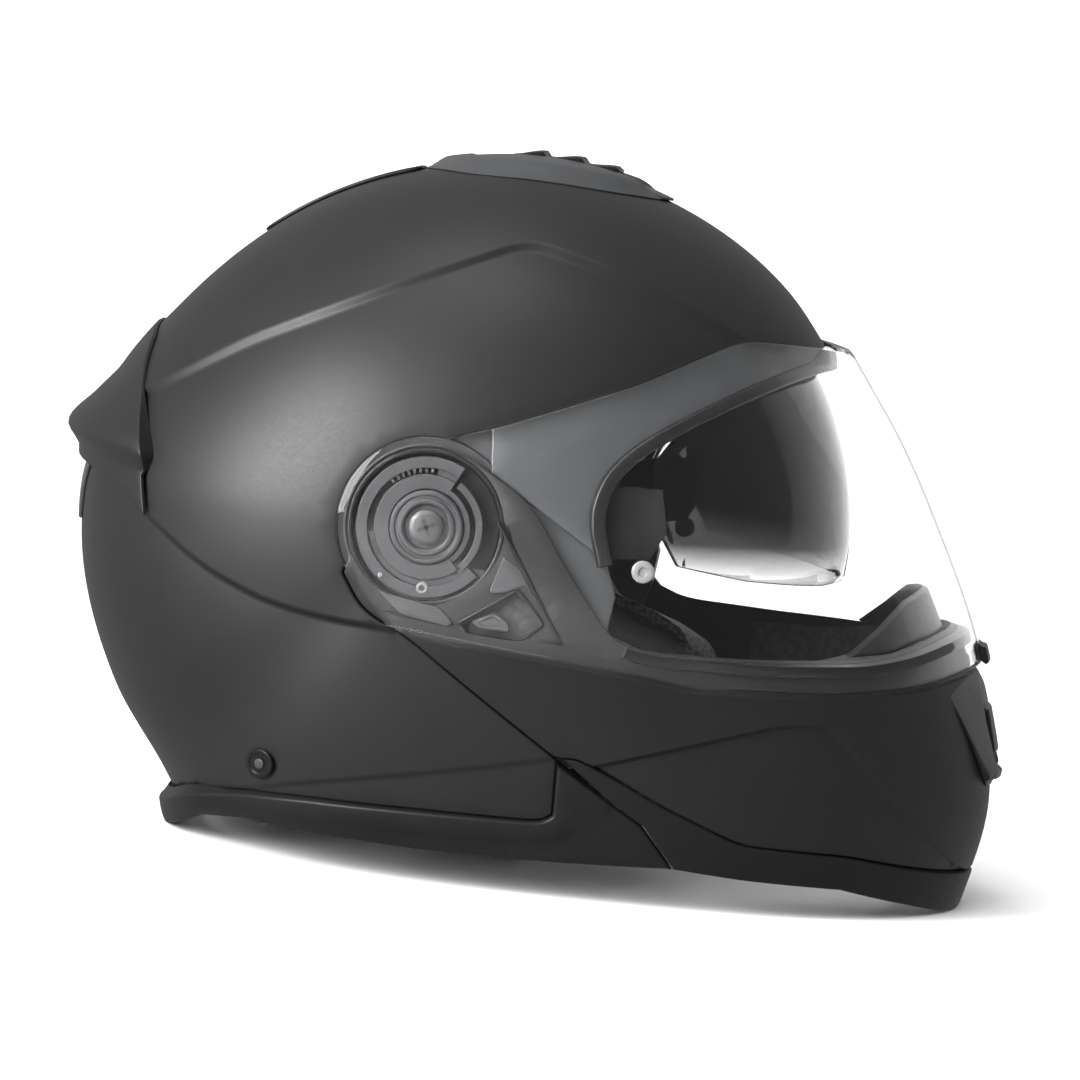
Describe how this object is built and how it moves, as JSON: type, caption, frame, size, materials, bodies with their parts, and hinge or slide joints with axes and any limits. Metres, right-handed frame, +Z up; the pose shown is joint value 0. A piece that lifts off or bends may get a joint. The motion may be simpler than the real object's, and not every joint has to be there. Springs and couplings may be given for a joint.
{
  "type": "modular motorcycle helmet",
  "caption": "Flip-up motorcycle helmet with a lifting chin bar, clear visor, drop-down sun visor, vents, padded liner and a buckled chin strap.",
  "frame": {"origin": "centre of the footprint of the bounding box, on the surface that the helmet stands on", "axes": "+X to the front of the helmet, +Z up, Y across it; the helmet stands as it rests on a table, on its rear neck edge and the bottom of its chin bar"},
  "size_m": [0.3621, 0.2638, 0.2623],
  "materials": {
    "painted_shell": "matte black paint, fine satin",
    "trim": "dull black rubber edge",
    "vent_plastic": "fine grained dark grey",
    "dark_plastic": "moulded satin black",
    "clear_lens": "clear hard-coated polycarbonate",
    "smoke_lens": "smoked polycarbonate",
    "foam": "fine beaded black foam",
    "lining": "brushed and mesh knit lining",
    "webbing": "woven webbing",
    "seal_rubber": "soft black rubber",
    "steel": "zinc plated, lightly brushed"
  },
  "bodies": {
    "shell": {"outer_shell": "painted_shell", "lower_trim": "trim", "impact_liner": "foam", "crown_pad": "lining", "cheek_pad_left": "lining", "cheek_pad_right": "lining", "neck_roll": "lining", "brow_seal": "seal_rubber", "pivot_post_left": "dark_plastic", "pivot_post_right": "dark_plastic", "pivot_hub_left": "dark_plastic", "pivot_hub_right": "dark_plastic", "pivot_screw_left": "steel", "pivot_screw_right": "steel", "top_vent_housing": "vent_plastic", "rear_spoiler": "painted_shell", "rear_vent_grille": "vent_plastic", "striker_left": "steel", "striker_right": "steel", "slider_track": "dark_plastic", "strap_rivet_left": "dark_plastic", "strap_rivet_right": "dark_plastic", "strap_anchor_left": "steel", "strap_anchor_right": "steel", "strap_left": "webbing", "strap_right": "webbing", "buckle_body": "dark_plastic", "strap_tongue": "dark_plastic"},
    "chin_bar": {"chin_bar": "painted_shell", "chin_lower_trim": "trim", "chin_liner": "foam", "breath_guard": "seal_rubber", "visor_lower_seal": "seal_rubber", "base_plate_left": "steel", "base_plate_right": "steel", "chin_vent_housing": "vent_plastic", "hook_pin_left": "steel", "hook_pin_right": "steel", "button_housing": "dark_plastic", "latch_cable_left": "seal_rubber", "latch_cable_right": "seal_rubber"},
    "visor": {"visor": "clear_lens", "visor_tab": "dark_plastic", "insert_pin_left": "dark_plastic", "insert_pin_right": "dark_plastic", "visor_ring_left": "dark_plastic", "visor_ring_right": "dark_plastic"},
    "sun_visor": {"sun_visor": "smoke_lens", "sun_arm_left": "dark_plastic", "sun_arm_right": "dark_plastic"},
    "sun_slider": {"sun_slider": "dark_plastic"},
    "top_vent_slider": {"top_vent_slider": "dark_plastic"},
    "chin_vent_flap": {"chin_vent_flap": "dark_plastic"},
    "release_button": {"release_button": "seal_rubber"},
    "latch_hook_left": {"latch_hook_left": "steel"},
    "latch_hook_right": {"latch_hook_right": "steel"},
    "visor_lever_left": {"visor_lever_left": "dark_plastic"},
    "visor_lever_right": {"visor_lever_right": "dark_plastic"},
    "buckle_lever": {"buckle_lever": "dark_plastic"}
  },
  "joints": [
    {"name": "chin_lift", "type": "hinge", "parent": "shell", "child": "chin_bar", "pos_m": [-0.03, 0, 0.1285], "axis": [0, -1, 0], "range_deg": [0, 80]},
    {"name": "visor_lift", "type": "hinge", "parent": "chin_bar", "child": "visor", "pos_m": [-0.03, 0, 0.1285], "axis": [0, -1, 0], "range_deg": [0, 52]},
    {"name": "sun_visor_lift", "type": "hinge", "parent": "shell", "child": "sun_visor", "pos_m": [-0.01, 0, 0.1254], "axis": [0, -1, 0], "range_deg": [0, 32]},
    {"name": "sun_slider_slide", "type": "slide", "parent": "shell", "child": "sun_slider", "axis": [0.9735, 0.2288, 0], "range_m": [0, 0.0245]},
    {"name": "top_vent_slide", "type": "hinge", "parent": "shell", "child": "top_vent_slider", "pos_m": [-0.03, 0, 0.1285], "axis": [0, -1, 0], "range_deg": [0, 3.5]},
    {"name": "chin_vent_slide", "type": "slide", "parent": "chin_bar", "child": "chin_vent_flap", "axis": [0.267, 0, -0.9637], "range_m": [0, 0.006]},
    {"name": "release_press", "type": "slide", "parent": "chin_bar", "child": "release_button", "axis": [0, 0, 1], "range_m": [0, 0.004], "stiffness_N_per_m": 300},
    {"name": "hook_left_turn", "type": "hinge", "parent": "chin_bar", "child": "latch_hook_left", "pos_m": [0.08, 0.1, 0.057], "axis": [0, 1, 0], "range_deg": [0, 14.2]},
    {"name": "hook_right_turn", "type": "hinge", "parent": "chin_bar", "child": "latch_hook_right", "pos_m": [0.08, -0.1, 0.057], "axis": [0, 1, 0], "range_deg": [0, 14.2]},
    {"name": "lever_left_press", "type": "hinge", "parent": "chin_bar", "child": "visor_lever_left", "pos_m": [0.002, 0.125, 0.101], "axis": [0, 1, 0], "range_deg": [0, 8], "stiffness_Nm_per_rad": 0.05},
    {"name": "lever_right_press", "type": "hinge", "parent": "chin_bar", "child": "visor_lever_right", "pos_m": [0.002, -0.125, 0.101], "axis": [0, 1, 0], "range_deg": [0, 8], "stiffness_Nm_per_rad": 0.05},
    {"name": "buckle_open", "type": "hinge", "parent": "shell", "child": "buckle_lever", "pos_m": [0.002, -0.0315, 0.0158], "axis": [1, 0, 0], "range_deg": [0, 55], "stiffness_Nm_per_rad": 0.03}
  ],
  "couplings": [
    {"joint": "sun_slider_slide", "follows": "sun_visor_lift", "m_per_rad": 0.043},
    {"joint": "hook_left_turn", "follows": "release_press", "rad_per_m": 61.5},
    {"joint": "hook_right_turn", "follows": "release_press", "rad_per_m": 61.5}
  ]
}
